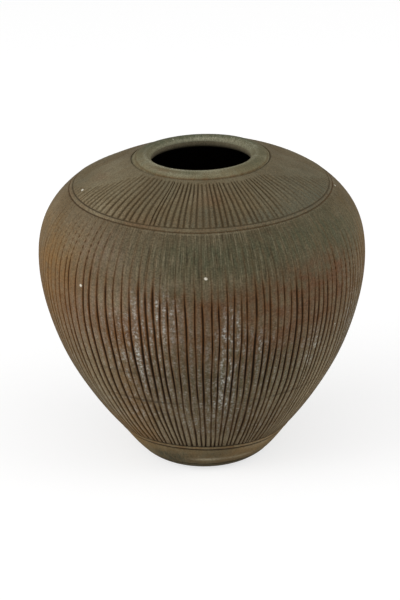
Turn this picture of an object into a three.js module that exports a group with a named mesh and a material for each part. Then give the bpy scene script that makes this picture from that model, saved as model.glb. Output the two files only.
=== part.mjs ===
// Terracotta vase: a large unglazed jar with combed walls, in millimetres, +Z up.
// The origin is the middle of the flat base. The jar is built from six clay sections that are
// luted one on another, and each seam is a flat joint face that comes out in a cut line or at
// the belly. Profiles are drawn as (radius, height).
import * as THREE from "three";

// Heights of the sections, from the ground up
const footHeight = 51;
const lowerBodyHeight = 211;
const upperBodyHeight = 87.5;
const shoulderHeight = 36.5;
const collarHeight = 6;

// Radii of the outside where the sections meet
const baseRadius = 60;
const footLineRadius = 112;
const bellyRadius = 200;
const shoulderLineRadius = 160;

// The mouth, the flare of the lip out from it and the collar round it
const mouthRadius = 61;
const lipFlare = 6;
const collarWidth = 17;
const throatDepth = 16;
const throatRound = 4;

// Slopes of the outside at the stations, in degrees from level
const heelSlope = 13;
const footLineSlope = 50;
const bellySlope = 90;
const shoulderLineSlope = 141;
const collarLineSlope = 160;
const collarEdgeSlope = 132;
const crestSlope = 180;
const throatSlope = 270;

// Fullness of each stretch of outline at its two ends: how far the curve keeps to the slope there
const heelFullness = [0.33, 0.26];
const lowerFullness = [0.32, 0.31];
const upperFullness = [0.34, 0.44];
const shoulderFullness = [0.31, 0.31];
const collarFullness = [0.35, 0.4];
const lipFullness = [0.15, 0.5];

// Clay thickness
const wall = 10;
const baseThickness = 12;

// Turned lines: a V cut, in pairs at the foot and the shoulder with a bead between them
const lineWidth = 2.6;
const lineDepth = 1.6;
const footLinesApart = 7.6;
const shoulderLinesApart = 5.6;
const beadRise = 0.5;

// Combing: upright V grooves drawn by hand with a toothed tool
const grooves = 128;
const grooveWidth = 2.4;
const grooveDepth = 1.5;
const grooveEndDepth = 2.1;
const grooveWander = 0.16;
const wanderPaces = [2.4, 5.1];
const combMargin = 3;
const fadeStart = 30;
const fadeEnd = 78;
const fadedDepth = 0.6;
const shoulderGrooveDepth = 1.2;

// Facets
const turnedSides = 64;
const insideSides = 40;
const slabRows = 3;
const heelRows = 3;
const lowerRows = 4;
const upperInsideRows = 3;
const shoulderRows = 2;
const undersideRows = 4;
const bandRows = 4;
const curveSteps = 24;

const profilePoint = (radius, height) => new THREE.Vector2(radius, height);

// A station is a place on the outline and the slope of the outline there.
function station(radius, height, slope) {
  const angle = THREE.MathUtils.degToRad(slope);
  return { at: profilePoint(radius, height), along: profilePoint(Math.cos(angle), Math.sin(angle)) };
}

// A smooth stretch of outline that leaves both stations along their slopes.
// The fullness at each end is the length of its handle as a share of the chord.
function stretch(from, to, [fromFullness, toFullness]) {
  const chord = from.at.distanceTo(to.at);
  const fromHandle = from.at.clone().addScaledVector(from.along, chord * fromFullness);
  const toHandle = to.at.clone().addScaledVector(to.along, -chord * toFullness);
  return new THREE.CubicBezierCurve(from.at, fromHandle, toHandle, to.at);
}

const footLineHeight = footHeight;
const bellyHeight = footLineHeight + lowerBodyHeight;
const shoulderLineHeight = bellyHeight + upperBodyHeight;
const collarLineHeight = shoulderLineHeight + shoulderHeight;
const lipHeight = collarLineHeight + collarHeight;
const lipRadius = mouthRadius + lipFlare;
const collarLineRadius = lipRadius + collarWidth;

const base = station(baseRadius, 0, heelSlope);
const footLine = station(footLineRadius, footLineHeight, footLineSlope);
const belly = station(bellyRadius, bellyHeight, bellySlope);
const shoulderLine = station(shoulderLineRadius, shoulderLineHeight, shoulderLineSlope);
const collarLine = station(collarLineRadius, collarLineHeight, collarLineSlope);

const heel = stretch(base, footLine, heelFullness);
const lowerWall = stretch(footLine, belly, lowerFullness);
const upperWall = stretch(belly, shoulderLine, upperFullness);
const shoulderWall = stretch(shoulderLine, collarLine, shoulderFullness);

// Outward normal of a stretch at a share of its length.
function normalAt(curve, share) {
  const tangent = curve.getTangentAt(share);
  return profilePoint(tangent.y, -tangent.x);
}

// A point at a distance along a stretch, sunk below its surface by a depth.
function sunk(curve, distance, depth) {
  const share = THREE.MathUtils.clamp(distance / curve.getLength(), 0, 1);
  return curve.getPointAt(share).addScaledVector(normalAt(curve, share), -depth);
}

// An outline as points from the ground up, and the inside: the outside moved in by the wall.
const steps = Array.from({ length: curveSteps + 1 }, (_, i) => i / curveSteps);
const heelOutline = steps.map((share) => sunk(heel, share * heel.getLength(), 0));
const inside = [heel, lowerWall, upperWall, shoulderWall].flatMap((curve) =>
  steps.map((share) => sunk(curve, share * curve.getLength(), wall)),
);

// Radius of an outline of points at a height; past either end it is the radius of that end.
function radiusAt(outline, height) {
  const next = outline.findIndex((point) => point.y > height);
  if (next < 1) {
    return outline.at(next).x;
  }
  const [low, high] = outline.slice(next - 1, next + 1);
  return THREE.MathUtils.lerp(low.x, high.x, (height - low.y) / (high.y - low.y));
}

// Points of an outline at even heights from one level to another.
function levels(outline, from, to, rows) {
  return Array.from({ length: rows + 1 }, (_, i) => {
    const height = THREE.MathUtils.lerp(from, to, i / rows);
    return profilePoint(radiusAt(outline, height), height);
  });
}

// Level rings of points. A ring lists the angle and the place of each of its points in turn.
function plainRing(point, sides) {
  return Array.from({ length: sides }, (_, i) => {
    const angle = (2 * Math.PI * i) / sides;
    return { angle, radius: point.x, height: point.y };
  });
}

// Hand spacing: each groove strays a little from its even place.
function grooveAngle(index) {
  const stray = Math.sin(wanderPaces[0] * index) + Math.cos(wanderPaces[1] * index);
  return (2 * Math.PI * (index + grooveWander * stray)) / grooves;
}

// A ring that crosses every groove: land edge, bottom of the V, land edge.
// The grooves sink along a direction, so that a ring on a seam stays level.
function combedRing(point, depth, direction) {
  return Array.from({ length: grooves }, (_, i) => {
    const middle = grooveAngle(i);
    const halfAngle = grooveWidth / 2 / point.x;
    const bottom = point.clone().addScaledVector(direction, -depth);
    return [
      { angle: middle - halfAngle, radius: point.x, height: point.y },
      { angle: middle, radius: bottom.x, height: bottom.y },
      { angle: middle + halfAngle, radius: point.x, height: point.y },
    ];
  }).flat();
}

// A combed ring at a distance along a stretch.
function combedAt(curve, distance, depth) {
  const share = distance / curve.getLength();
  return combedRing(curve.getPointAt(share), depth, normalAt(curve, share));
}

// Triangles between two rings, taking the next point of whichever ring is behind.
function bridge(ring, next, ringStart, nextStart) {
  const triangles = [];
  const angleOf = (points, i) => points[i % points.length].angle + (i < points.length ? 0 : 2 * Math.PI);
  let i = 0;
  let j = 0;
  while (i < ring.length || j < next.length) {
    const onRing = ringStart + (i % ring.length);
    const onNext = nextStart + (j % next.length);
    const ringIsBehind = j === next.length
      || (i < ring.length && angleOf(ring, i + 1) <= angleOf(next, j + 1));
    if (ringIsBehind) {
      triangles.push(onRing, ringStart + ((i + 1) % ring.length), onNext);
      i += 1;
    } else {
      triangles.push(onRing, nextStart + ((j + 1) % next.length), onNext);
      j += 1;
    }
  }
  return triangles;
}

// A hollow section of wall through a closed loop of rings: up the outside, down the inside.
function loft(rings) {
  const starts = [];
  const positions = [];
  for (const ring of rings) {
    starts.push(positions.length / 3);
    for (const { angle, radius, height } of ring) {
      positions.push(radius * Math.cos(angle), radius * Math.sin(angle), height);
    }
  }
  const index = rings.flatMap((ring, i) => {
    const next = (i + 1) % rings.length;
    return bridge(ring, rings[next], starts[i], starts[next]);
  });
  const geometry = new THREE.BufferGeometry();
  geometry.setAttribute("position", new THREE.Float32BufferAttribute(positions, 3));
  geometry.setIndex(index);
  geometry.computeVertexNormals();
  return geometry;
}

// A section turned on the wheel, from a profile of (radius, height) points.
function turned(profile) {
  return new THREE.LatheGeometry(profile, turnedSides).rotateX(Math.PI / 2);
}

const insideRings = (points) => points.map((point) => plainRing(point, insideSides));
const outsideRings = (points) => points.map((point) => plainRing(point, turnedSides));

// The seams that come out in the bottom of a cut line, and the seam of the slab in the heel
const slabSeam = profilePoint(radiusAt(heelOutline, baseThickness), baseThickness);
const footSeam = sunk(heel, heel.getLength(), lineDepth);
const shoulderSeam = sunk(shoulderWall, 0, lineDepth);
const collarSeam = sunk(shoulderWall, shoulderWall.getLength(), lineDepth);
const halfLine = lineWidth / 2;

// Base slab: a flat round with the first of the rounded heel turned on its edge
function baseSlab() {
  const underside = profilePoint(0, 0);
  const top = profilePoint(0, baseThickness);
  return turned([underside, ...levels(heelOutline, 0, baseThickness, slabRows), top]);
}

// Foot band: the rest of the heel, then the lower foot line and the bead below the upper one
function footBand() {
  const length = heel.getLength();
  const lowerLine = length - footLinesApart;
  const lineEdge = sunk(heel, lowerLine - halfLine, 0);
  return turned([
    ...levels(heelOutline, baseThickness, lineEdge.y, heelRows),
    sunk(heel, lowerLine, lineDepth),
    sunk(heel, lowerLine + halfLine, 0),
    sunk(heel, length - footLinesApart / 2, -beadRise),
    sunk(heel, length - halfLine, 0),
    footSeam,
    ...levels(inside, footSeam.y, baseThickness, heelRows),
    slabSeam,
  ]);
}

// Lower body: grooves run from pits above the foot lines up to the belly
function lowerBody() {
  const length = lowerWall.getLength();
  const combed = Array.from({ length: lowerRows }, (_, i) => {
    const distance = THREE.MathUtils.lerp(halfLine + combMargin, length, i / lowerRows);
    return combedAt(lowerWall, distance, i === 0 ? grooveEndDepth : grooveDepth);
  });
  return loft([
    ...outsideRings([footSeam, sunk(lowerWall, halfLine, 0)]),
    ...combed,
    combedRing(belly.at, grooveDepth, profilePoint(1, 0)),
    ...insideRings(levels(inside, bellyHeight, footSeam.y, lowerRows)),
  ]);
}

// Upper body: the grooves fade out on the way up to the shoulder lines
function upperBody() {
  const edge = upperWall.getLength() - halfLine;
  return loft([
    combedRing(belly.at, grooveDepth, profilePoint(1, 0)),
    combedAt(upperWall, fadeStart, grooveDepth),
    combedAt(upperWall, (fadeStart + fadeEnd) / 2, fadedDepth),
    ...outsideRings([
      sunk(upperWall, fadeEnd, 0),
      sunk(upperWall, (fadeEnd + edge) / 2, 0),
      sunk(upperWall, edge, 0),
      shoulderSeam,
    ]),
    ...insideRings(levels(inside, shoulderSeam.y, bellyHeight, upperInsideRows)),
  ]);
}

// Shoulder: bead and upper line, then radial grooves up to the plain edge round the collar.
// The throat passes down through it and rounds under into the hollow.
function shoulder() {
  const length = shoulderWall.getLength();
  const combStart = shoulderLinesApart + halfLine;
  const combEnd = length - halfLine - combMargin;
  const combed = Array.from({ length: shoulderRows + 1 }, (_, i) => {
    const distance = THREE.MathUtils.lerp(combStart, combEnd, i / shoulderRows);
    return combedAt(shoulderWall, distance, shoulderGrooveDepth);
  });
  const throatBottom = lipHeight - throatDepth;
  return loft([
    ...outsideRings([
      shoulderSeam,
      sunk(shoulderWall, halfLine, 0),
      sunk(shoulderWall, shoulderLinesApart / 2, -beadRise),
      sunk(shoulderWall, shoulderLinesApart - halfLine, 0),
      sunk(shoulderWall, shoulderLinesApart, lineDepth),
    ]),
    ...combed,
    ...outsideRings([sunk(shoulderWall, length - halfLine, 0), collarSeam]),
    ...insideRings([
      profilePoint(mouthRadius, collarSeam.y),
      profilePoint(mouthRadius, throatBottom + throatRound),
      profilePoint(mouthRadius + throatRound, throatBottom),
      ...levels(inside, throatBottom, shoulderSeam.y, undersideRows),
    ]),
  ]);
}

// Rim collar: a low rounded band up to the crest, and the lip that flares from the throat to it.
// The band springs from halfway up the inner side of the collar line.
function rimCollar() {
  const edge = station(collarSeam.x - halfLine / 2, collarSeam.y + lineDepth / 2, collarEdgeSlope);
  const crest = station(lipRadius, lipHeight, crestSlope);
  const throat = station(mouthRadius, collarSeam.y, throatSlope);
  const band = stretch(edge, crest, collarFullness).getPoints(bandRows);
  const lip = stretch(crest, throat, lipFullness).getPoints(bandRows);
  return turned([collarSeam, ...band, ...lip.slice(1), collarSeam]);
}

// Fired clay of each section, matt and grainy
const clays = {
  base_slab: 0x6a5a45,
  foot_band: 0x63553f,
  lower_body: 0x57483a,
  upper_body: 0x57503d,
  shoulder: 0x5b533e,
  rim_collar: 0x6f6853,
};

function section(name, geometry) {
  const clay = new THREE.MeshStandardMaterial({ color: clays[name], roughness: 0.92, metalness: 0 });
  const mesh = new THREE.Mesh(geometry, clay);
  mesh.name = name;
  return mesh;
}

const vase = new THREE.Group();
vase.add(
  section("base_slab", baseSlab()),
  section("foot_band", footBand()),
  section("lower_body", lowerBody()),
  section("upper_body", upperBody()),
  section("shoulder", shoulder()),
  section("rim_collar", rimCollar()),
);

export default vase;
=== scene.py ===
import math

import bpy
import numpy as np
from mathutils import Matrix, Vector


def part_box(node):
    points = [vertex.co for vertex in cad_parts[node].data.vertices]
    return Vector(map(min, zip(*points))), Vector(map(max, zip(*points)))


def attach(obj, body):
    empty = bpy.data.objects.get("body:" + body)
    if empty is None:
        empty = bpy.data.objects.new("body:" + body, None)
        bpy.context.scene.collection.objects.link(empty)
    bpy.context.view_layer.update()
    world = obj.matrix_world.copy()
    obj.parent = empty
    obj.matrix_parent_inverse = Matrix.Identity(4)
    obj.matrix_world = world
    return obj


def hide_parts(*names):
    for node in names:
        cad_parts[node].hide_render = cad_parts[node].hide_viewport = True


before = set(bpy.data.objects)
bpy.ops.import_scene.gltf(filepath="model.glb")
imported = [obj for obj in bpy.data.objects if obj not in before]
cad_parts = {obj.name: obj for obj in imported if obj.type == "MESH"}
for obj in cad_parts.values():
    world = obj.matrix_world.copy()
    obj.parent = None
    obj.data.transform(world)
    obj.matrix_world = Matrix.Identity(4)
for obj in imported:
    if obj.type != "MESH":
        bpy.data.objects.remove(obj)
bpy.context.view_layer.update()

# Base slab: the flat round of coarse clay that the jar stands on, beaten out on the wheel head.
# It carries the first of the rounded heel, and its underside is plain and flat.
mm = 0.001
turned_columns = 512
wrap_radius = 160 * mm
mark_names = ("cut", "edge", "warm", "smoke", "rust", "lilac_and_sheen", "bloom_and_painted_light", "hair", "pale")


def station(radius, height, slope):
    """A place on the jar's outline, and the direction the outline runs in there. The slope is in
    degrees from level."""
    angle = math.radians(slope)
    return np.array([radius, height]), np.array([math.cos(angle), math.sin(angle)])


def stretch(start, end, start_fullness, end_fullness, samples=160):
    """A smooth stretch of outline between two stations, as points of (radius, height). Fullness is
    how long it keeps to its direction at that end, as a share of the chord."""
    (from_point, from_way), (to_point, to_way) = start, end
    chord = np.linalg.norm(to_point - from_point)
    from_handle = from_point + from_way * chord * start_fullness
    to_handle = to_point - to_way * chord * end_fullness
    t = np.linspace(0, 1, samples)[:, None]
    return (
        (1 - t) ** 3 * from_point
        + 3 * t * (1 - t) ** 2 * from_handle
        + 3 * t**2 * (1 - t) * to_handle
        + t**3 * to_point
    )


base_at = station(60 * mm, 0, slope=13)
foot_line_at = station(112 * mm, 51 * mm, slope=50)
belly_at = station(200 * mm, 262 * mm, slope=90)
shoulder_line_at = station(160 * mm, 349.5 * mm, slope=141)
collar_line_at = station(84 * mm, 386 * mm, slope=160)
stretches = [
    stretch(base_at, foot_line_at, 0.33, 0.26),
    stretch(foot_line_at, belly_at, 0.32, 0.31),
    stretch(belly_at, shoulder_line_at, 0.34, 0.44),
    stretch(shoulder_line_at, collar_line_at, 0.31, 0.31),
]
outline = np.vstack([stretches[0]] + [part[1:] for part in stretches[1:]])
lengths = np.linalg.norm(np.diff(outline, axis=0), axis=1)
runs = np.concatenate([[0], np.cumsum(lengths)])
foot_run, belly_run, shoulder_run, collar_run = runs[np.cumsum([len(part) - 1 for part in stretches])]
ways = np.gradient(outline, runs, axis=0)
ways /= np.linalg.norm(ways, axis=1)[:, None]


def on_outline(run):
    """Radius, height and outward direction of the wall at a distance along its outline."""
    return [np.interp(run, runs, values) for values in (*outline.T, ways[:, 1], -ways[:, 0])]


def level_ring(angle, radius, height, run):
    """A ring of points; radius, height and run may change round the ring."""
    return [np.broadcast_to(value, angle.shape).astype(float) for value in (angle, radius, height, run)]


def skin(name, rings, closed, marks):
    """One closed piece from level rings of points. Rings run from bottom to top on the outside.
    A closed one joins its last ring to its first, and an open one ends in a point at each end.
    Marks are values kept on each point for the clay's colours to read, and place is where the
    point lies on a straight pipe of clay, so that patterns run evenly up the wall."""
    angle, radius, height, run = (np.array([ring[i] for ring in rings]) for i in range(4))
    rows, columns = angle.shape
    points = np.stack([radius * np.cos(angle), radius * np.sin(angle), height], axis=-1).reshape(-1, 3)
    place = np.stack([wrap_radius * np.cos(angle), wrap_radius * np.sin(angle), run], axis=-1)
    place = place.reshape(-1, 3)
    row, column = np.meshgrid(np.arange(rows if closed else rows - 1), np.arange(columns), indexing="ij")
    above, beside = (row + 1) % rows * columns, (column + 1) % columns
    row = row * columns
    faces = np.stack([row + column, row + beside, above + beside, above + column], axis=-1)
    faces = faces.reshape(-1, 4).tolist()
    values = {key: value.reshape(-1) for key, value in marks.items()}
    if not closed:
        for end, way in ((0, -1), (rows - 1, 1)):
            middle = len(points)
            points = np.vstack([points, [[0, 0, height[end, 0]]]])
            place = np.vstack([place, [[0, 0, run[end, 0]]]])
            values = {key: np.append(value, 0) for key, value in values.items()}
            edge = (end * columns + np.arange(columns))[::way]
            faces += [[int(a), int(b), middle] for a, b in zip(edge, np.roll(edge, -1))]
    mesh = bpy.data.meshes.new(name)
    mesh.from_pydata(points.tolist(), [], faces)
    mesh.shade_smooth()
    mesh.set_sharp_from_angle(angle=math.radians(62))
    mesh.attributes.new("place", "FLOAT_VECTOR", "POINT").data.foreach_set("vector", place.reshape(-1))
    for key, value in values.items():
        mesh.attributes.new(key, "FLOAT", "POINT").data.foreach_set("value", value)
    piece = bpy.data.objects.new(name, mesh)
    bpy.context.scene.collection.objects.link(piece)
    return piece


def blank_marks(rings, **given):
    """Marks that are the same on every point of some rings, to be painted over."""
    shape = (len(rings), len(rings[0][0]))
    return {key: np.full(shape, float(given.get(key, 0))) for key in mark_names}


def linear(code):
    """An sRGB hex colour as linear light."""
    parts = [int(code[i:i + 2], 16) / 255 for i in (1, 3, 5)]
    return [p / 12.92 if p <= 0.04045 else ((p + 0.055) / 1.055) ** 2.4 for p in parts] + [1]


def put(tree, kind, sockets=None, give=0, **settings):
    """Adds a shader node and gives one of its outputs. A socket takes a value or an output."""
    made = tree.nodes.new("ShaderNode" + kind)
    for setting, value in settings.items():
        setattr(made, setting, value)
    for socket, value in (sockets or {}).items():
        if isinstance(value, bpy.types.NodeSocket):
            tree.links.new(value, made.inputs[socket])
        else:
            made.inputs[socket].default_value = value
    return made.outputs[give] if len(made.outputs) else made


def fired_clay(name, ground, cloud, warm, smoke, rust, lilac_and_sheen, bloom_and_painted_light, rim, dark, pale, chips=()):
    """Coarse iron-bearing clay, fired without glaze: matt, gritty and blotched by the kiln, with lime
    that came out of it in pale specks. Its marks also lay painted light on it: painted shade in the
    grooves, lines, pits and hollow, and a painted sheen or highlight on some lands and along the
    crest. Each scale is 1000 over a size in mm. Three are coarser than real, to show: grit of 0.5 mm
    is drawn at 2 mm, lime specks of 1 mm at 3 mm, and the comb's hair lines of 0.4 mm at 1.1 mm."""
    material = bpy.data.materials.new(name)
    material.use_nodes = True
    tree = material.node_tree
    tree.nodes.clear()
    place = put(tree, "Attribute", attribute_name="place", give="Vector")
    mark = {key: put(tree, "Attribute", attribute_name=key, give="Fac") for key in mark_names}
    drawn = put(tree, "VectorMath", {0: place, 1: (1, 1, 0.04)}, operation="MULTIPLY")
    upright = put(tree, "VectorMath", {0: place, 1: (1, 1, 0.3)}, operation="MULTIPLY")
    clouds = put(tree, "TexNoise", {"Vector": place, "Scale": 1000 / 60, "Detail": 4, "Roughness": 0.6})
    blots = put(tree, "TexNoise", {"Vector": place, "Scale": 1000 / 15, "Detail": 4, "Roughness": 0.6})
    mottle = put(tree, "TexNoise", {"Vector": place, "Scale": 1000 / 5, "Detail": 3, "Roughness": 0.6})
    streaks = put(tree, "TexNoise", {"Vector": upright, "Scale": 1000 / 4, "Detail": 3, "Roughness": 0.65})
    specks = put(tree, "TexNoise", {"Vector": place, "Scale": 1000 / 3, "Detail": 3, "Roughness": 0.7})
    grit = put(tree, "TexNoise", {"Vector": place, "Scale": 1000 / 2, "Detail": 2, "Roughness": 0.7})
    hairs = put(tree, "TexNoise", {"Vector": drawn, "Scale": 1000 / 1.1, "Detail": 0})
    bloom_and_light_share = put(tree, "MapRange", {"Value": streaks, "From Min": 0.4, "From Max": 0.6})
    bloom_and_light_share = put(tree, "Math", {0: bloom_and_light_share, 1: mark["bloom_and_painted_light"]}, operation="MULTIPLY")

    # Each layer: colour, where it is laid, the pattern in it, and the range of the pattern that
    # takes it from its least to its most.
    paint = linear(ground)
    for code, where, pattern, low, high, least, most in (
        (cloud, 1, clouds, 0.42, 0.58, 0, 1),
        # Lilac from iron, and a painted sheen on the lit lands at the left of the belly.
        (lilac_and_sheen, mark["lilac_and_sheen"], mottle, 0.42, 0.58, 0.3, 1),
        (warm, mark["warm"], blots, 0.34, 0.6, 0.4, 1),
        (smoke, mark["smoke"], streaks, 0.64, 0.4, 0.5, 1),
        (rust, mark["rust"], blots, 0.38, 0.6, 0.3, 1),
        (pale, mark["hair"], hairs, 0.6, 0.74, 0, 0.36),
        (dark, mark["hair"], hairs, 0.4, 0.26, 0, 0.48),
        # Lime bloom, and painted light: a sheen on single lit lands and on the crest, and low lands
        # lightened.
        (bloom_and_painted_light, bloom_and_light_share, specks, 0.48, 0.6, 0.1, 1),
        # Pale patches, partly painted light: a highlight on the heel and crest, and lit lands made
        # lighter.
        (pale, mark["pale"], grit, 0.3, 0.6, 0.45, 1),
        (rim, mark["edge"], mottle, 0.34, 0.6, 0.55, 1),
        # Painted shade: dark laid in the grooves, lines, pits and the hollow inside.
        (dark, mark["cut"], grit, 0.3, 0.6, 0.88, 1),
        (pale, 1, specks, 0.7, 0.76, 0, 0.5),
        (dark, 1, specks, 0.3, 0.25, 0, 0.5),
    ):
        limits = {"Value": pattern, "From Min": low, "From Max": high, "To Min": least, "To Max": most}
        share = put(tree, "MapRange", limits)
        share = put(tree, "Math", {0: share, 1: where}, operation="MULTIPLY")
        paint = put(tree, "Mix", {0: share, 6: paint, 7: linear(code)}, give=2, data_type="RGBA")
    shades = {"Value": grit, "From Min": 0.3, "From Max": 0.7, "To Min": 0.66, "To Max": 1.34}
    tone = put(tree, "MapRange", shades)
    paint = put(tree, "VectorMath", {0: paint, 3: tone}, operation="SCALE")

    # Chips: flakes knocked off the skin, which bare a pale gritty body. Each is degrees round from
    # the front, mm along the outline, and half its width in mm.
    for turn, run, size in chips:
        angle = math.radians(turn - 90)
        spot = (wrap_radius * math.cos(angle), wrap_radius * math.sin(angle), run * mm)
        reach = put(tree, "VectorMath", {0: place, 1: spot}, operation="DISTANCE", give="Value")
        ragged = put(tree, "Math", {0: specks, 1: 3 * mm, 2: reach}, operation="MULTIPLY_ADD")
        edges = {"Value": ragged, "From Min": (size + 1) * mm, "From Max": (size + 2) * mm}
        share = put(tree, "MapRange", {**edges, "To Min": 1, "To Max": 0})
        paint = put(tree, "Mix", {0: share, 6: paint, 7: linear("#d8d3c4")}, give=2, data_type="RGBA")

    relief = put(tree, "Math", {0: hairs, 1: mark["hair"], 2: grit}, operation="MULTIPLY_ADD")
    bump = put(tree, "Bump", {"Strength": 0.5, "Distance": 0.5 * mm, "Height": relief})
    dull = {"Value": blots, "From Min": 0.3, "From Max": 0.7, "To Min": 0.8, "To Max": 0.95}
    rough = put(tree, "MapRange", dull)
    surface = {
        "Base Color": paint, "Roughness": rough, "IOR": 1.5, "Specular IOR Level": 0.15, "Normal": bump,
    }
    put(tree, "OutputMaterial", {"Surface": put(tree, "BsdfPrincipled", surface)})
    return material


even_angle = np.linspace(0, 2 * math.pi, turned_columns, endpoint=False)
slab_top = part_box("base_slab")[1][2]
heel_run = float(np.interp(slab_top, outline[:, 1], runs))
underside_radii, top_radii = np.linspace(4, 58, 14) * mm, np.linspace(64, 4, 8) * mm
rings = [level_ring(even_angle, radius, 0, -radius) for radius in underside_radii]
for run in np.linspace(0, heel_run, 12):
    radius, height, _, _ = on_outline(run)
    rings.append(level_ring(even_angle, radius, height, run))
rings += [level_ring(even_angle, radius, slab_top, 0) for radius in top_radii]
slab = skin("base_slab_clay", rings, False, blank_marks(rings, warm=0.2, smoke=0.6, rust=0.1))

# Coarse fired clay, beaten flat and rubbed on the ground: drab grey-green, dull, with pale grit.
slab.data.materials.append(fired_clay(
    "Coarse fired clay, beaten", ground="#6f6654", cloud="#645a45", warm="#7a6647", smoke="#545443",
    rust="#6e5137", lilac_and_sheen="#75695b", bloom_and_painted_light="#a59f8c", rim="#5f4a2c", dark="#33271a", pale="#948a72",
))
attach(slab, "root")
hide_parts("base_slab")

# Foot band: the plain band that the potter turned smooth above the heel. The lower of the two
# foot lines is cut in it with a pointed stick, and the bead between the lines stands proud. From
# here up the jar is hollow.
wall = 10 * mm
line_width, line_depth, bead_rise = 2.6 * mm, 1.6 * mm, 0.3 * mm
foot_lines_apart = 7.6 * mm
inside_radius = outline[:, 0] - wall * ways[:, 1]
inside_height = outline[:, 1] + wall * ways[:, 0]


def soft_step(value, low, high):
    """Rises softly from 0 at low to 1 at high."""
    share = np.clip((value - low) / (high - low), 0, 1)
    return share * share * (3 - 2 * share)


def hump(value, middle, half_width, power=2):
    """A soft hump: 1 at its middle and about a third of that half its width away. A higher power
    makes it flatter on top."""
    return np.exp(-(((value - middle) / half_width) ** power))


def turn_of(angle):
    """Degrees round from the front of the jar, to the right."""
    return (np.degrees(angle) + 90 + 180) % 360 - 180


def patches(turn, run, areas):
    """Soft-edged patches on the wall, added up. Each area is its strength, its middle as degrees
    round from the front and mm along the outline, and half its size in the same two."""
    total = np.zeros(np.broadcast(turn, run).shape)
    for strength, at_turn, at_run, half_turn, half_run in areas:
        away = (turn - at_turn + 180) % 360 - 180
        total += strength * np.exp(-((away / half_turn) ** 2) - ((run / mm - at_run) / half_run) ** 2)
    return total


def sectors(turn, parts):
    """Patches that run the whole way up: strength, and middle and half width in degrees."""
    return patches(turn, 0, [(strength, middle, 0, half, 1) for strength, middle, half in parts])


def unround(angle, run):
    """How far the thrown wall lies inside its true round, as no hand-made jar is quite round. The
    dome sank a little at the back left while it was soft, and the wall below the belly is full."""
    slow = np.sin(2 * angle - 1.6) + 0.6 * np.sin(3 * angle + 5.2 + 6 * run)
    quick = 0.35 * np.sin(5 * angle + 14 * run) + 0.25 * np.sin(9 * angle - 22 * run)
    sunk_dome = soft_step(run, shoulder_run, shoulder_run + 30 * mm)
    slump = 1.8 * sunk_dome * patches(turn_of(angle), run, [(1, -135, 450, 50, 400)])
    full = 0.8 * hump(run, 185 * mm, 40 * mm)
    return ((slow + quick + 2.2) * 0.22 + slump - full) * mm


def line_stray(angle):
    """A turned line wavers a little as the wheel goes round."""
    return (0.35 * np.sin(3 * angle + 1) + 0.2 * np.sin(7 * angle + 4)) * mm


def foot_line_stray(angle):
    """The foot lines were not turned quite level: they run lower at the front right."""
    return line_stray(angle) - sectors(turn_of(angle), [(5.5, 36, 42), (0.8, -50, 30)]) * mm


def cut_line(run, line_run):
    """How deep a turned V line is at a distance along the outline, as a share of its depth."""
    return np.clip(1.06 - np.abs(run - line_run) / (line_width / 2), 0, 1)


def wall_rings(run_grid, angle_grid, sink):
    """Rings of the outside of the wall, sunk by a depth at each point."""
    rings = []
    for run, angle, depth in zip(run_grid, angle_grid, sink):
        radius, height, across, up = on_outline(run)
        depth = depth + unround(angle, run)
        rings.append([angle, radius - across * depth, height - up * depth, run])
    return rings


def inside_rings(angle, top, bottom, rows):
    """Rings of the inside of the wall, from the top down."""
    heights = np.linspace(top, bottom, rows)
    radii = [np.interp(height, inside_height, inside_radius) for height in heights]
    return [level_ring(angle, radius, height, -height) for radius, height in zip(radii, heights)]


def paint_marks(marks, painted):
    """Sets the marks of a piece's first rows, which are its outside."""
    for key, value in painted.items():
        marks[key][:len(value)] = np.clip(value, 0, 1)


# Rows of points across a turned line, as offsets along the outline. A seam lies in the bottom of
# its line, so the piece below takes the rows up to there.
across_line = np.array([-2.0, -1.3, -0.9, -0.45, 0, 0.45, 0.9, 1.3, 2.0]) * mm
up_to_seam = across_line[:5]
lower_line_run = foot_run - foot_lines_apart
bead_run = foot_run - foot_lines_apart / 2
band_end = lower_line_run - 3 * mm
run_rows = np.concatenate([
    np.linspace(heel_run, band_end, 22),
    lower_line_run + across_line,
    bead_run + np.array([-0.8, 0, 0.8]) * mm,
    foot_run + up_to_seam,
])
angle_grid = np.broadcast_to(even_angle, (len(run_rows), len(even_angle)))
stray = foot_line_stray(even_angle)
run_grid = run_rows[:, None] + soft_step(run_rows, heel_run, band_end)[:, None] * stray
lower_cut = cut_line(run_grid, lower_line_run + stray)
line_cut = np.maximum(lower_cut, cut_line(run_grid, foot_run + stray))
lower_shade = hump(run_grid, lower_line_run + stray, 1.8 * mm)
bead = hump(run_grid, bead_run + stray, 1.6 * mm)
outside = wall_rings(run_grid, angle_grid, line_cut * line_depth - bead * bead_rise)
rings = outside + inside_rings(even_angle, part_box("foot_band")[1][2], slab_top, 5)
# The inside rows are painted dark all over, as painted shade in the hollow.
marks = blank_marks(rings, cut=1)
turn = turn_of(angle_grid)
foot_warm = [(0.5, -52, 60, 24, 16), (0.7, 45, 58, 22, 20)]
foot_smoke = [(1.0, -30, 40, 18, 16), (0.7, 0, 12, 90, 14), (0.5, 78, 35, 30, 25), (0.4, 4, 52, 14, 10)]
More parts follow.
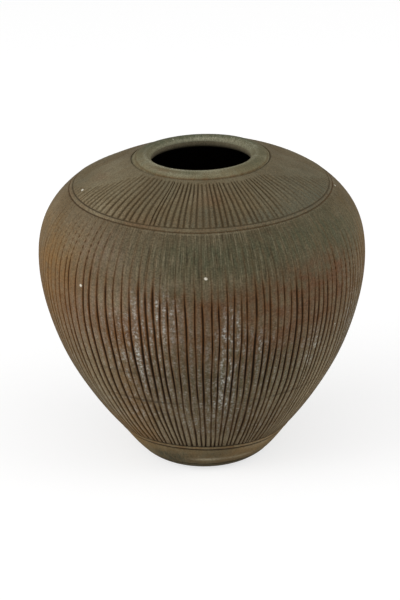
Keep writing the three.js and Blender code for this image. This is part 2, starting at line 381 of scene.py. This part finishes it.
# The dark here is painted shade in the foot lines and beside the lower one, less at the sides, and the
# pale patches are mostly a painted highlight on the rounded heel.
paint_marks(marks, {
    "cut": np.maximum(3 * line_cut, 0.8 * lower_shade) * (1 - 0.35 * np.abs(turn) / 90),
    "pale": patches(turn, run_grid, [(0.9, 0, 39, 10, 3), (0.5, 25, 38, 14, 3), (0.3, 40, 60, 14, 10)]),
    "warm": (0.35 + patches(turn, run_grid, foot_warm)) * (1 - 0.6 * bead),
    "smoke": 0.2 + patches(turn, run_grid, foot_smoke),
    "rust": 0.15 + 0.4 * bead,
})
foot = skin("foot_band_clay", rings, True, marks)

# The same clay wetted and turned smooth: closer grained and browner than the slab.
foot.data.materials.append(fired_clay(
    "Fired clay, turned smooth", ground="#877a5e", cloud="#766950", warm="#8d7046", smoke="#474b3d",
    rust="#76512f", lilac_and_sheen="#7d6f60", bloom_and_painted_light="#a59f8c", rim="#6b4a20", dark="#1a1209", pale="#b3aa90",
))
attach(foot, "root")
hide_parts("foot_band")

# Lower body: thrown wall of the same clay, combed upright from the foot lines to the belly while
# soft. Each groove is a V drawn by one tooth, it starts in a pit and it wanders with the hand.
groove_count, gap_spread = 128, 0.18
groove_depth, pit_depth = 1.6 * mm, 1.8 * mm
pit_length, fade_length = 1.6 * mm, 46 * mm

# Seven columns of points cross a groove, and one runs up the land beside it. For each: how far it
# is sunk, its painted shade in the groove and in a pit, and how much iron stains it.
across_groove = np.array([-2.2, -1.5, -0.85, 0, 0.85, 1.5, 2.2]) * mm
sunk_across = np.array([0, 0.05, 0.6, 1, 0.6, 0.05, 0, 0])
cut_across = np.array([0, 0.15, 1, 1, 1, 0.15, 0, 0])
pit_shade_across = np.array([0, 0.8, 1, 1, 1, 0.8, 0, 0])
edge_across = np.array([0.35, 1, 1, 1, 1, 1, 0.35, 0])
columns_each = len(sunk_across)


def hand_spaced(seed, crowded):
    """Groove angles round the jar: uneven gaps, closer where crowded says, and here and there one
    crowded up against the next."""
    draw = np.random.default_rng(seed)
    turn = turn_of(np.arange(groove_count) / groove_count * 2 * math.pi)
    gaps = 1 + gap_spread * draw.uniform(-1, 1, groove_count)
    gaps *= 1 - 0.4 * (draw.random(groove_count) < 0.04)
    gaps *= 1 - sectors(turn, crowded)
    return np.concatenate([[0], np.cumsum(gaps)[:-1]]) / gaps.sum() * 2 * math.pi


def comb(run_rows, angles, seed, sway, swell):
    """Columns that follow each groove up the wall: seven across it, and one on the land beside.
    Angles are where the grooves run, the same all the way up or row by row. Sway is how far the
    hand wanders to the side. Swell is how much wider than usual the tooth cuts, for each row and
    groove."""
    draw = np.random.default_rng(seed)
    phase = draw.uniform(0, 2 * math.pi, (2, groove_count))
    lean = np.convolve(np.tile(draw.normal(0, 1, groove_count), 3), [0.25, 0.5, 0.25], "same")
    lean = lean[groove_count:2 * groove_count]
    rows = []
    angles = np.broadcast_to(angles, (len(run_rows), groove_count))
    for run, start_angles, wider in zip(run_rows, angles, swell):
        radius = on_outline(run)[0]
        stray = np.sin(34 * run + phase[0]) + 0.6 * np.sin(71 * run + phase[1])
        stray += 1.6 * lean * np.sin(13 * run)
        middle = start_angles + stray * sway / radius
        gap = (np.roll(middle, -1) - middle) % (2 * math.pi)
        room = np.minimum(gap, np.roll(gap, 1)) * radius
        # Where grooves crowd together each is narrower, so that land is left between them.
        width = np.minimum(wider, 0.36 * room / across_groove[-1])
        sides = middle[:, None] + across_groove[None, :] * width[:, None] / radius
        rows.append(np.concatenate([sides, (middle + gap / 2)[:, None]], axis=1).reshape(-1))
    return np.array(rows)


body_draw = np.random.default_rng(23)
body_angles = hand_spaced(seed=5, crowded=[(0.09, 10, 45), (-0.22, -47, 12)])
body_turn = turn_of(body_angles)
pit_starts = foot_run + (0.9 + body_draw.uniform(-0.5, 0.9, groove_count)) * mm
early_fade = sectors(body_turn, [(8, -2, 22), (4, 30, 20)])
fade_starts = belly_run + (6 - early_fade + body_draw.uniform(-10, 12, groove_count)) * mm
left_over = 0.1 + sectors(body_turn, [(0.55, -53, 18), (0.2, -46, 9)])
left_over += 0.2 * body_draw.random(groove_count) ** 2
groove_strength = 1 + body_draw.uniform(-0.2, 0.15, groove_count)

# Where the comb was pressed lighter, and with a minus sign harder.
light_combing = [
    (0.25, -68, 315, 14, 24), (0.2, -46, 285, 10, 40), (0.22, 24, 302, 12, 24), (0.7, 44, 92, 11, 20),
    (0.25, 6, 155, 14, 34), (0.2, -25, 168, 12, 8), (-0.3, -4, 86, 30, 14), (-0.9, -46, 100, 14, 34),
    (-0.6, -68, 150, 14, 90), (-0.15, -8, 230, 8, 50), (-0.6, 45, 205, 14, 50), (-0.5, -46, 210, 12, 60),
    (-0.4, 7, 198, 9, 30), (-0.25, 8, 306, 12, 16), (-0.6, -46, 88, 10, 14), (-0.5, 42, 104, 12, 12),
]


def body_groove(run):
    """Depth of each body groove at a distance along the outline, as a share. Above the belly it
    fades, and at the sides the tooth skips and chatters on the drying clay."""
    starts = soft_step(run, pit_starts, pit_starts + pit_length)
    fades = soft_step(run, fade_starts, fade_starts + fade_length)
    slow = 1 + 0.12 * np.sin(55 * run + 9 * body_angles) + 0.1 * np.sin(140 * run + 23 * body_angles)
    skips = patches(body_turn, run, [(0.5, -55, 374, 15, 26), (0.3, 60, 330, 20, 20)])
    chatter = 1 - skips * (1 + np.sin(800 * run + 31 * body_angles))
    chatter *= 1 - 0.6 * soft_step(run, shoulder_run - 34 * mm, shoulder_run - 4 * mm)
    light = 1 - patches(body_turn, run, light_combing)
    return groove_strength * starts * (1 - fades * (1 - left_over)) * slow * chatter * light


def pit(run):
    """The long pit where a tooth was first pressed in, as a share of its depth."""
    pressed = 0.3 + 0.7 * hump(body_turn, -6, 30, power=4) - sectors(body_turn, [(0.3, 50, 22)])
    return pressed * hump(run, pit_starts + pit_length, 2.2 * mm)


# How the kiln coloured the wall: warm from the flame, grey from smoke, rust and lilac from iron,
# pale in patches, and bloom where lime came out of it. Lilac, pale and bloom also carry painted
# light: a painted sheen on single lit lands, and lands low on the wall painted lighter.
body_areas = {
    "warm": [
        (0.9, -60, 318, 12, 44), (0.5, -74, 300, 12, 60), (0.4, -70, 240, 20, 70),
        (0.5, -36, 130, 14, 50), (0.4, 85, 330, 20, 60), (0.7, -29, 268, 5, 14), (0.9, -46, 98, 18, 26),
        (0.8, 170, 280, 45, 80), (0.5, 120, 180, 30, 60), (0.4, -33, 200, 9, 80),
        (0.35, -50, 190, 12, 30), (0.4, -84, 366, 16, 40), (0.25, -56, 362, 14, 30),
        (0.5, -24, 271, 5, 14),
    ],
    "smoke": [
        (1.0, 34, 372, 50, 34), (0.4, -4, 372, 24, 32), (0.8, 50, 356, 20, 24), (0.6, 76, 215, 16, 100),
        (0.3, -74, 250, 12, 60), (0.35, 2, 322, 24, 14), (0.4, -7, 332, 8, 10), (0.7, 44, 332, 20, 24),
        (0.25, 16, 280, 8, 30), (0.2, -60, 350, 14, 28), (0.3, 52, 402, 24, 12), (0.2, 8, 400, 30, 8),
        (0.8, 6, 226, 30, 60), (0.5, 36, 210, 20, 50), (0.3, 33, 100, 9, 16), (0.5, -62, 170, 18, 50),
        (0.8, -150, 340, 45, 45), (0.6, 140, 150, 30, 60),
    ],
    "rust": [
        (1.0, 33, 288, 26, 46), (0.7, -30, 278, 14, 24), (0.5, 48, 310, 18, 30), (0.45, 34, 105, 12, 25),
        (0.6, 150, 250, 50, 60), (0.5, -120, 270, 30, 50), (0.4, 4, 260, 30, 60), (0.5, 2, 306, 12, 18),
        (0.3, -2, 322, 24, 14), (0.9, 44, 330, 17, 22), (0.7, -55, 292, 11, 36), (0.25, 8, 400, 40, 8),
        (0.3, -32, 160, 8, 44), (0.4, -26, 271, 6, 13),
    ],
    # Lilac from iron; the strongest patch, at the left of the belly, is a painted sheen.
    "lilac_and_sheen": [
        (1.0, -20, 300, 16, 30), (0.7, -46, 290, 14, 40), (0.6, -42, 368, 16, 26), (0.5, 0, 240, 50, 60),
        (0.5, 180, 230, 60, 60),
    ],
    # Pale patches; those low on the wall are painted light that lightens the lands.
    "pale": [
        (0.25, -16, 250, 4.5, 60), (0.15, 8, 250, 5, 24), (0.45, -33, 314, 9, 15),
        (0.15, -48, 372, 14, 30), (0.25, -84, 378, 14, 26), (0.45, 48, 104, 12, 20),
        (0.75, 54, 150, 11, 70), (0.9, 2, 90, 20, 16), (0.7, -20, 116, 9, 30), (0.5, -44, 198, 9, 60),
        (0.2, 45, 200, 14, 50), (0.2, -66, 150, 12, 80), (0.4, -46, 110, 12, 30), (0.35, 30, 150, 12, 60),
        (0.3, -52, 150, 9, 50),
    ],
    # Lime bloom; the narrow streaks on single lands are partly a painted sheen, and the broad patches low
    # on the wall are partly painted light that lightens the lands.
    "bloom_and_painted_light": [
        (0.35, -19, 290, 12, 30), (0.6, -16, 240, 3.5, 60), (0.5, 7.5, 262, 3.5, 26),
        (1.0, -25, 309, 1, 15), (1.0, -22.6, 308, 1, 16), (0.8, -15.6, 306, 1.2, 16),
        (0.9, -12.6, 304, 1.2, 20), (0.8, -10, 307, 1.2, 18), (1.0, 8.2, 290, 1.3, 20),
        (1.0, 10.1, 288, 1.3, 24), (0.4, 13.5, 266, 1.3, 18), (0.4, 9, 280, 5, 24),
        (0.9, 7, 198, 2.4, 36), (0.9, 9.5, 215, 1.6, 24), (0.25, 6, 190, 7, 40), (0.8, 5, 172.5, 7, 1.5),
        (0.9, -23, 230, 1.4, 30), (0.5, -25, 240, 5, 34), (0.5, 20, 253, 1.4, 24), (0.1, 22, 255, 5, 26),
        (0.9, 43, 236, 1.4, 22), (0.25, 43, 238, 6, 20), (0.15, -36, 250, 14, 50),
        (0.35, 70, 230, 12, 70), (0.2, -40, 130, 26, 45), (0.3, 0, 120, 60, 40), (0.6, 150, 220, 20, 50),
        (0.6, -140, 200, 16, 50), (0.25, 0, 200, 60, 80), (0.5, 180, 200, 90, 80),
    ],
}

# Level scratches round the soft wall, in two rows.
scar_at, upper_scar_at = 171, 216
scar_run, upper_scar_run = scar_at * mm, upper_scar_at * mm
scars = [
    (0.75, -24, scar_at, 16, 1.5), (0.55, 36, scar_at, 20, 1.5), (0.4, -24, upper_scar_at, 24, 1.4),
]


def paint_body(marks, run_grid, angle_grid, cut, edge, line_edge):
    """Marks for the outside of the combed wall: its areas, painted shade in its grooves,
    iron-stained rims and hairs.
    """
    turn = turn_of(angle_grid)
    painted = {key: patches(turn, run_grid, areas) for key, areas in body_areas.items()}
    iron = 0.4 + patches(turn, run_grid, [(0.6, -28, 285, 45, 60)])
    above = soft_step(run_grid, belly_run + 15 * mm, belly_run + 45 * mm)
    painted["hair"] = above * patches(turn, run_grid, [(1, 0, 380, 42, 400), (0.5, 180, 380, 90, 400)])
    # The grooves' painted shade, a little deeper round the belly; the level scratches are drawn in with
    # it.
    painted["cut"] = cut * (0.84 + patches(turn, run_grid, [(0.16, 0, 225, 400, 60)]))
    painted["cut"] = np.maximum(painted["cut"], patches(turn, run_grid, scars))
    painted["edge"] = np.maximum(edge * iron, line_edge)
    painted["bloom_and_painted_light"] = painted["bloom_and_painted_light"] * (1 - 0.6 * edge)
    paint_marks(marks, painted)


def combed_wall(run_rows, first_stray, last_stray):
    """Angles, runs, depth and marks of a combed stretch of the body. Its first and last rows, and
    less so those next to them, follow the strays of the turned lines there."""
    pits = np.array([pit(run) for run in run_rows])
    depth = np.array([body_groove(run) for run in run_rows])
    swell = groove_strength * (0.5 + 0.5 * np.clip(depth, 0, 1.6)) + 0.5 * pits
    angle_grid = comb(run_rows, body_angles, seed=11, sway=0.5 * mm, swell=swell)
    near_first = 1 - soft_step(run_rows, run_rows[0] + 8 * mm, run_rows[0] + 30 * mm)
    near_last = soft_step(run_rows, run_rows[-1] - 40 * mm, run_rows[-1] - 4 * mm)
    strays = near_first[:, None] * first_stray(angle_grid) + near_last[:, None] * last_stray(angle_grid)
    run_grid = run_rows[:, None] + strays
    pits, depth = np.repeat(pits, columns_each, axis=1), np.repeat(depth, columns_each, axis=1)
    shapes = (sunk_across, cut_across, pit_shade_across, edge_across)
    sunk, cut, pit_cut, edge = (np.tile(shape, groove_count) for shape in shapes)
    sink = sunk * (depth * groove_depth + pits * pit_depth)
    cut = np.maximum(cut * np.clip(depth, 0, 1) ** 1.6, pit_cut * np.clip(1.3 * pits, 0, 1))
    return angle_grid, run_grid, sink, cut, edge * np.clip(1.2 * depth, 0, 1)


# Rows of points stand closest together at the pits and the scratches.
run_rows = np.concatenate([
    foot_run + np.array([0, 0.45, 0.9, 1.3, 2, 2.6, 3.2, 3.8, 4.5, 5.3, 6.4, 8]) * mm,
    np.linspace(foot_run + 10.5 * mm, scar_run - 4 * mm, 26),
    scar_run + np.array([-1.4, -0.6, 0, 0.6, 1.4]) * mm,
    np.linspace(scar_run + 4 * mm, upper_scar_run - 3 * mm, 13),
    upper_scar_run + np.array([-1.2, 0, 1.2]) * mm,
    np.linspace(upper_scar_run + 3 * mm, belly_run, 29),
])
angle_grid, run_grid, sink, cut, edge = combed_wall(run_rows, foot_line_stray, np.zeros_like)
line_run = foot_run + foot_line_stray(angle_grid)
line_cut = cut_line(run_grid, line_run)
outside = wall_rings(run_grid, angle_grid, np.maximum(sink, line_cut * line_depth))
seam_low, seam_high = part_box("foot_band")[1][2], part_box("lower_body")[1][2]
rings = outside + inside_rings(angle_grid[-1], seam_high, seam_low, 8)
# The inside rows are painted dark all over, as painted shade in the hollow.
marks = blank_marks(rings, cut=1)
turn = turn_of(angle_grid)
# Painted shade in the foot line and in a band just above it where the pits are, less at the right.
line_shade = hump(run_grid, line_run + 1.2 * mm, 1.8 * mm) * sectors(turn, [(0.5, -12, 40)])
line_dark = 3 * line_cut * (1 - 0.7 * soft_step(turn, 25, 50))
paint_body(marks, run_grid, angle_grid, np.max([cut, line_dark, line_shade], axis=0), edge, 0)
lower = skin("lower_body_clay", rings, True, marks)

# Clay combed while soft: brown-grey lands dusted with lime, some with a painted sheen, and cuts
# darkened with painted shade, with iron-stained rims.
body_clay = fired_clay(
    "Fired clay, combed wall", ground="#695d48", cloud="#5c503b", warm="#82633c", smoke="#4d4d3a",
    rust="#5c4532", lilac_and_sheen="#776658", bloom_and_painted_light="#c4c8c4", rim="#74491f", dark="#1f1407", pale="#8a8068",
    chips=[(-46, 322, 1.7), (1, 349.5, 1.5), (54, 255, 0.7), (-37.5, 217, 0.7), (88, 403, 1.2)],
)
lower.data.materials.append(body_clay)
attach(lower, "root")
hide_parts("lower_body")

# Upper body: the same wall closing in from the belly to the shoulder lines. The grooves thin out
# into hair lines that the comb's teeth left as the hand lifted it off. It is the same clay as the
# lower body, and a pale burr stands below the shoulder line.
shoulder_line_depth = 0.5 * line_depth


def shoulder_line_stray(angle):
    """The lower shoulder line dips at the front and rises at the left."""
    lift = sectors(turn_of(angle), [(-1.7, 4, 26), (1.1, -65, 40)])
    return line_stray(angle) + (lift - 0.3) * mm


run_rows = np.concatenate([
    np.linspace(belly_run, shoulder_run - 4.5 * mm, 76),
    shoulder_run + np.array([-3.4, -2.7]) * mm,
    shoulder_run + up_to_seam,
])
angle_grid, run_grid, sink, cut, edge = combed_wall(run_rows, np.zeros_like, shoulder_line_stray)
line_run = shoulder_run + shoulder_line_stray(angle_grid)
line_cut = cut_line(run_grid, line_run)
outside = wall_rings(run_grid, angle_grid, np.maximum(sink, line_cut * shoulder_line_depth))
seam_low, seam_high = seam_high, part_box("upper_body")[1][2]
rings = outside + inside_rings(angle_grid[-1], seam_high, seam_low, 8)
# The inside rows are painted dark all over, as painted shade in the hollow.
marks = blank_marks(rings, cut=1)
turn = turn_of(angle_grid)
# Painted shade in the lower shoulder line, deeper at the left.
line_dark = (0.5 + sectors(turn, [(0.35, -58, 28), (0.15, 45, 30)])) * line_cut
paint_body(marks, run_grid, angle_grid, np.maximum(cut, line_dark), edge, 0.6 * line_cut)
burr = hump(run_grid, line_run - 2.6 * mm, 0.8 * mm) * (0.12 + sectors(turn, [(0.35, 0, 25)]))
paint_marks(marks, {"pale": np.maximum(marks["pale"][:len(burr)], burr)})
upper = skin("upper_body_clay", rings, True, marks)
upper.data.materials.append(body_clay)
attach(upper, "root")
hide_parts("upper_body")

# Shoulder: the shallow dome that closes the jar, luted on at the lower shoulder line. It carries
# the bead, the upper line and grooves combed inwards that stop short of the collar. The throat
# goes down through it and rounds under into the hollow.
shoulder_lines_apart = 5.6 * mm
shoulder_groove_depth = 1.2 * mm
throat_depth, throat_round = 16 * mm, 4 * mm
mouth_radius = 61 * mm
neck_shift = 1.3 * mm
lip_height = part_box("rim_collar")[1][2]


def neck_offset(angle):
    """The neck stands a little to the right of the jar's middle."""
    return neck_shift * np.cos(angle)


def collar_line_stray(angle):
    """The collar line wavers, and is centred on the neck."""
    return line_stray(angle) - neck_offset(angle)


upper_line_run = shoulder_run + shoulder_lines_apart
bead_run = shoulder_run + shoulder_lines_apart / 2
run_rows = np.concatenate([
    shoulder_run + across_line[4:8],
    bead_run + np.array([-0.7, 0, 0.7]) * mm,
    upper_line_run + across_line[1:],
    np.linspace(upper_line_run + 4 * mm, collar_run - 4 * mm, 44),
    collar_run + up_to_seam,
])
shoulder_draw = np.random.default_rng(41)
shoulder_angles = hand_spaced(seed=8, crowded=[(0.07, 5, 45), (-0.25, -47, 12)])
shoulder_turn = turn_of(shoulder_angles)

# Where the comb was lifted off, as degrees round and mm along the outline. It left the sides bare.
comb_lifts = np.array([
    (-180, 480), (-106, 480), (-98, 465), (-88, 415), (-74, 430), (-68, 446), (-62, 460), (-56, 478),
    (-50, 486), (-30, 487), (0, 485), (20, 483), (50, 482), (58, 472), (70, 455), (80, 434), (92, 415),
    (100, 465), (108, 480), (180, 480),
])
comb_stops = np.interp(shoulder_turn, *comb_lifts.T) + shoulder_draw.uniform(-1.5, 1.5, groove_count)
comb_stops = comb_stops * mm
strength = 0.95 + shoulder_draw.uniform(-0.25, 0.15, groove_count)
strength *= 0.4 + 0.5 * hump(shoulder_turn, -8, 52, power=4)

# Where the comb was pressed harder, and with a minus sign lighter.
pressed = [
    (0.35, -42, 430, 16, 24), (0.25, -66, 425, 12, 16), (0.3, -8, 470, 8, 10), (0.3, 46, 462, 14, 22),
    (-0.25, 46, 422, 14, 12),
]
depth = np.array([
    (strength + patches(shoulder_turn, run, pressed)) * (run > upper_line_run)
    * (1 - soft_step(run, comb_stops - 1.5 * mm, comb_stops + 0.5 * mm))
    for run in run_rows
])

# At the left front the combing leans to the right as it nears the collar.
slant = np.radians(sectors(shoulder_turn, [(1.8, -27, 22)]))
slant = soft_step(run_rows, 425 * mm, 485 * mm)[:, None] * slant
even_swell = np.full(depth.shape, 1.1)
angle_grid = comb(run_rows, shoulder_angles + slant, seed=17, sway=0.35 * mm, swell=even_swell)
turn = turn_of(angle_grid)

# The rows follow the stray of whichever line is near: lower, upper or collar line.
upper_stray = (0.8 - 2.2 * hump(turn, 38, 68, power=4)) * mm
near_lower = np.interp(run_rows, [shoulder_run, upper_line_run], [1, 0])
near_upper = np.interp(run_rows, [shoulder_run, upper_line_run, collar_run - 30 * mm], [0, 1, 0])
near_collar = soft_step(run_rows, collar_run - 12 * mm, collar_run - 3 * mm)
strays = (
    near_lower[:, None] * shoulder_line_stray(angle_grid)
    + near_upper[:, None] * upper_stray
    + near_collar[:, None] * collar_line_stray(angle_grid)
)
run_grid = run_rows[:, None] + strays
depth = np.repeat(depth, columns_each, axis=1)
sunk, cut, edge = (np.tile(shape, groove_count) for shape in (sunk_across, cut_across, edge_across))
lower_cut = cut_line(run_grid, shoulder_run + shoulder_line_stray(angle_grid))
upper_cut = cut_line(run_grid, upper_line_run + upper_stray)
collar_cut = cut_line(run_grid, collar_run + collar_line_stray(angle_grid))
bead = np.broadcast_to(hump(run_rows, bead_run, 1.2 * mm)[:, None], run_grid.shape)
line_sink = np.maximum(np.maximum(lower_cut, upper_cut) * shoulder_line_depth, collar_cut * line_depth)
sink = np.maximum(sunk * depth * shoulder_groove_depth, line_sink)
outside = wall_rings(run_grid, angle_grid, sink - bead * 0.5 * bead_rise)
top_angle = angle_grid[-1]
seam_low = seam_high
throat_top, throat_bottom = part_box("rim_collar")[0][2], lip_height - throat_depth
throat_radius = mouth_radius + neck_offset(top_angle)
rings = outside + [level_ring(top_angle, throat_radius, throat_top, -throat_top)]
for quarter in np.linspace(0, math.pi / 2, 5):
    radius = throat_radius + throat_round * (1 - math.cos(quarter))
    height = throat_bottom + throat_round * (1 - math.sin(quarter))
    rings.append(level_ring(top_angle, radius, height, -height))
rings += inside_rings(top_angle, throat_bottom - 1 * mm, seam_low, 12)
# Inside, the throat is painted pale at the top, where light reaches in, and painted shade deepens down the
# throat and fills the hollow below.
marks = blank_marks(rings, cut=1, smoke=0.4, pale=0.5)
for row in range(len(outside), len(rings)):
    marks["cut"][row] = soft_step(throat_top - rings[row][2], 0, 9 * mm)
depth = np.clip(depth, 0, 1)
# Painted shade in the grooves and the lines, deeper at the left.
line_dark = 0.46 + sectors(turn, [(0.35, -58, 28), (0.1, 45, 30)])
cuts = [0.5 * cut * depth, line_dark * lower_cut, line_dark * upper_cut, 0.2 * collar_cut]
edges = [0.6 * edge * depth, 0.6 * lower_cut, 0.6 * upper_cut, 0.5 * collar_cut]
shoulder_pale = [
    (0.35, -55, 440, 22, 40), (0.25, -85, 470, 16, 30), (0.3, -52, 420, 16, 10), (0.3, -4, 462, 16, 16),
    (0.2, 44, 450, 14, 20),
]
shoulder_smoke = [
    (0.7, 58, 430, 34, 50), (0.7, 2, 433, 8, 9), (0.3, -25, 470, 14, 20), (0.3, -85, 430, 12, 20),
    (0.5, 8, 416, 34, 9), (0.3, 60, 416, 30, 9),
]
shoulder_rust = [(0.3, -30, 414, 40, 14), (0.6, 5, 458, 11, 17), (0.6, -78, 452, 6, 9)]
paint_marks(marks, {
    "cut": np.max(cuts, axis=0),
    "edge": np.max(edges, axis=0),
    "warm": 0.15 + patches(turn, run_grid, [(0.3, -60, 412, 45, 50), (0.3, 20, 450, 20, 20)]),
    "rust": 0.1 + 0.35 * bead + patches(turn, run_grid, shoulder_rust),
    "smoke": 0.1 + patches(turn, run_grid, shoulder_smoke),
    "pale": patches(turn, run_grid, shoulder_pale),
    "hair": np.full(turn.shape, 0.15),
})
shoulder = skin("shoulder_clay", rings, True, marks)

# The same clay, drier when it was combed: olive-brown, with softer, browner cuts.
shoulder.data.materials.append(fired_clay(
    "Fired clay, combed shoulder", ground="#736a53", cloud="#685e48", warm="#7a6746", smoke="#58594a",
    rust="#6b5039", lilac_and_sheen="#75695b", bloom_and_painted_light="#aba48f", rim="#5f4a2b", dark="#1a130a", pale="#90866d",
    chips=[(-76, 424, 1.7)],
))
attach(shoulder, "root")
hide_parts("shoulder")

# Rim collar: a thick coil luted on last and turned smooth, a low rounded band round the mouth.
# It rises to a thin crest with a painted highlight, and flares from there down into the throat.
lip_flare = 6 * mm
_, _, across, up = on_outline(collar_run)
edge_radius, edge_height = collar_line_at[0] - np.array([across, up]) * line_depth
edge_at = station(edge_radius - line_width / 4, edge_height + line_depth / 2, slope=132)
crest_radius, crest_height = mouth_radius + lip_flare, lip_height - 0.3 * mm
throat_at = station(mouth_radius, throat_top, slope=270)
band = stretch(edge_at, station(crest_radius, crest_height, slope=170), 0.35, 0.4, 22)
lip = stretch(station(crest_radius, crest_height, slope=218), throat_at, 0.3, 0.5, 22)
profile = np.vstack([band, lip[1:]])
steps = np.linalg.norm(np.diff(profile, axis=0, prepend=[profile[0] - line_depth / 2]), axis=1)
profile_runs = collar_run + np.cumsum(steps)
crest_run = profile_runs[len(band) - 1]

# The collar was turned truer than the wall, so it takes only part of the wall's waver.
waver = unround(even_angle, collar_run)
seam_sink = line_depth + waver
radius, height, across, up = on_outline(collar_run + collar_line_stray(even_angle))
rings = [level_ring(even_angle, radius - across * seam_sink, height - up * seam_sink, collar_run)]
for (radius, height), run in zip(profile, profile_runs):
    radius = radius + neck_offset(even_angle) - 0.3 * waver
    down = 0.8 * waver * soft_step(height, throat_top, lip_height)
    rings.append(level_ring(even_angle, radius, height - down, run))
run_grid = np.array([ring[3] for ring in rings])
turn = turn_of(np.broadcast_to(even_angle, run_grid.shape))
crest = hump(run_grid, crest_run - 1 * mm, 2.2 * mm)
seam = hump(run_grid, collar_run, 0.8 * mm)
join = hump(run_grid, collar_run + (1.2 + sectors(turn, [(5, -100, 40), (3, 100, 30)])) * mm, 0.9 * mm)
collar_bloom = [
    (0.4, 140, 514, 30, 6), (0.4, -165, 516, 12, 5), (0.4, 178, 518, 9, 4), (0.6, 108, 510, 12, 6),
    (0.5, 165, 516.5, 24, 3),
]
collar_pale = [
    (0.35, -30, 499, 40, 3), (0.3, 10, 506, 14, 4), (0.7, 180, 519, 90, 5), (0.3, -60, 505, 16, 4),
]
collar_smoke = [
    (1.0, -150, 509, 36, 11), (1.0, 178, 505, 66, 9), (0.3, 62, 503, 26, 8), (0.6, -12, 503, 10, 5),
    (0.9, 172, 512.5, 26, 2), (0.7, -140, 513, 12, 3), (0.4, 140, 508, 30, 6),
]
collar_rust = [(0.6, 0, collar_run / mm + 1, 60, 2), (0.4, -40, 502, 12, 5)]
marks = blank_marks(rings)
# Along the crest the pale and bloom are a painted highlight, faint at the back; low inside the lip at the
# back they are partly painted light on the inner wall. The seam and the join above it are painted dark as
# shade.
paint_marks(marks, {
    "cut": 0.25 * seam + 0.2 * join,
    "edge": 0.6 * join,
    "pale": 0.35 * crest * (1 - sectors(turn, [(0.9, 180, 80)])) + patches(turn, run_grid, collar_pale),
    "warm": 0.1 + patches(turn, run_grid, [(0.4, 20, 500, 30, 6), (0.4, -70, 500, 30, 12)]),
    "smoke": 0.15 + patches(turn, run_grid, collar_smoke),
    "bloom_and_painted_light": crest * sectors(turn, [(0.8, -34, 40)]) + patches(turn, run_grid, collar_bloom),
    "rust": 0.1 + patches(turn, run_grid, collar_rust),
})
collar = skin("rim_collar_clay", rings, True, marks)

# The same clay turned smooth and handled most: cloudy olive, with a painted highlight along the crest.
collar.data.materials.append(fired_clay(
    "Fired clay, rubbed collar", ground="#7e7960", cloud="#6c674e", warm="#7f7050", smoke="#4f5540",
    rust="#75573d", lilac_and_sheen="#7b7062", bloom_and_painted_light="#c8c8b2", rim="#5f4a2b", dark="#1c150c", pale="#a19f86",
    chips=[(-150, 512, 1)],
))
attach(collar, "root")
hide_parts("rim_collar")

# Floor: a plain pale studio sweep. It looks white to the camera, keeps the jar's soft shadow and
# throws light back up under the jar. It lies 0.2 mm under the jar, so that they share no face.
reach, drop = 6, -0.2 * mm
corners = [(-reach, -reach, drop), (reach, -reach, drop), (reach, reach, drop), (-reach, reach, drop)]
floor_mesh = bpy.data.meshes.new("floor")
floor_mesh.from_pydata(corners, [], [(0, 1, 2, 3)])
floor = bpy.data.objects.new("floor", floor_mesh)
bpy.context.scene.collection.objects.link(floor)
floor_paint = bpy.data.materials.new("Matt white sweep")
floor_paint.use_nodes = True
tree = floor_paint.node_tree
tree.nodes.clear()
seen = put(tree, "LightPath", give="Is Camera Ray")
matt = put(tree, "BsdfDiffuse", {"Color": linear("#e6e4df"), "Roughness": 1})
shaded = put(tree, "BsdfDiffuse", {"Color": (0.5, 0.5, 0.5, 1), "Roughness": 1})
white = put(tree, "Emission", {"Color": (1, 1, 1, 1), "Strength": 0.62})
sweep = put(tree, "AddShader", {0: white, 1: shaded})
put(tree, "OutputMaterial", {"Surface": put(tree, "MixShader", {0: seen, 1: matt, 2: sweep})})
floor_mesh.materials.append(floor_paint)

# Light: two large soft boxes, one each side, so the flanks are lit more than the middle and the
# combing shows, with a weak one above the camera. The room is a pale even fill, and plain white
# where the camera sees it.
room_fill = 0.58
world = bpy.data.worlds.new("studio")
bpy.context.scene.world = world
world.use_nodes = True
tree = world.node_tree
tree.nodes.clear()
seen = put(tree, "LightPath", give="Is Camera Ray")
level = put(tree, "Mix", {0: seen, 2: room_fill, 3: 1.0}, data_type="FLOAT")
put(tree, "OutputWorld", {"Surface": put(tree, "Background", {"Color": (1, 1, 1, 1), "Strength": level})})

for name, spot, size, watts in (
    ("soft_box_left", (-2.0, -0.7, 0.8), 1.6, 26),
    ("soft_box_right", (2.1, -0.5, 0.8), 1.6, 20),
    ("soft_box_front", (0.2, -2.4, 0.5), 1.4, 5),
):
    lamp = bpy.data.lights.new(name, "AREA")
    lamp.shape = "SQUARE"
    lamp.size = size
    lamp.energy = watts
    box = bpy.data.objects.new(name, lamp)
    bpy.context.scene.collection.objects.link(box)
    box.location = spot
    aim = np.array([0, 0, 0.2]) - np.array(spot)
    box.rotation_euler = (math.atan2(math.hypot(aim[0], aim[1]), -aim[2]), 0, math.atan2(-aim[0], aim[1]))

# Camera: the photograph's angle, from the fit of the jar's rings and outline in it.
camera_rise, camera_roll, camera_distance = math.radians(22.321), math.radians(1.3), 3.0883
aim_point = np.array([-0.00363, 0, 0.1982])
back = np.array([0, -math.cos(camera_rise), math.sin(camera_rise)])
lens = bpy.data.cameras.new("camera")
lens.lens, lens.sensor_width = 150, 36
camera = bpy.data.objects.new("camera", lens)
bpy.context.scene.collection.objects.link(camera)
camera.matrix_world = (
    Matrix.Translation(aim_point + back * camera_distance)
    @ Matrix.Rotation(math.pi / 2 - camera_rise, 4, "X")
    @ Matrix.Rotation(-camera_roll, 4, "Z")
)
bpy.context.scene.camera = camera
bpy.context.scene.view_settings.view_transform = "Standard"

bpy.context.view_layer.update()
